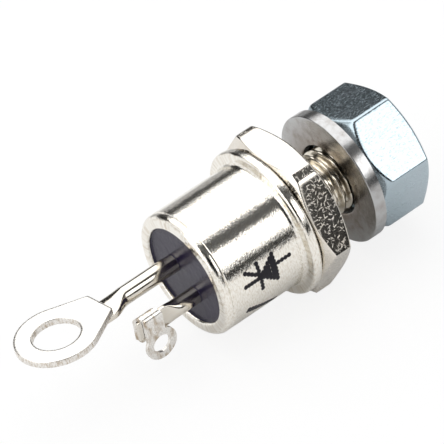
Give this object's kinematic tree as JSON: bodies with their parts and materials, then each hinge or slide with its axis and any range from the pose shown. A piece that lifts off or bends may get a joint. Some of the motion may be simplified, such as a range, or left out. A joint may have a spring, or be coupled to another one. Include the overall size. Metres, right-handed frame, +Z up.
{
  "type": "silicon controlled rectifier",
  "caption": "Stud-mounted thyristor with a hexagonal base, drawn metal cap, glass seal, crimped cathode tube with a ring lug, small gate tag, flat washer and hex nut.",
  "frame": {"origin": "on the floor under the middle of the part's box, with the part lying on its side and a flat of its hexagonal base down", "axes": "+X along the stud from the terminals to the nut, +Z up from the floor"},
  "size_m": [0.0416, 0.0166, 0.0147],
  "materials": {
    "nickel_plated_copper": "nickel plate over turned copper, scratched",
    "nickel_plated_steel": "nickel plate over drawn steel, satin",
    "sealing_glass": "opaque fused glass, satin",
    "molybdenum": "lapped",
    "silicon": "lapped and metallised",
    "silicone_rubber": "cured",
    "bare_copper": "drawn wire",
    "tinned_wire": "tinned wire",
    "plated_tube": "plated tube, crimped",
    "tinned_copper": "stamped and tinned",
    "plain_steel": "dull plate, turned face",
    "zinc_plated_steel": "bright zinc plate"
  },
  "bodies": {
    "root": {"stud_base": "nickel_plated_copper", "cap_shell": "nickel_plated_steel", "glass_seal": "sealing_glass", "anode_disc": "molybdenum", "silicon_pellet": "silicon", "junction_coating": "silicone_rubber", "cathode_disc": "molybdenum", "cathode_lead": "bare_copper", "gate_lead": "tinned_wire", "cathode_tube": "plated_tube", "cathode_lug": "tinned_copper", "gate_tube": "plated_tube", "gate_tag": "tinned_copper", "flat_washer": "plain_steel", "hex_nut": "zinc_plated_steel"}
  },
  "joints": []
}
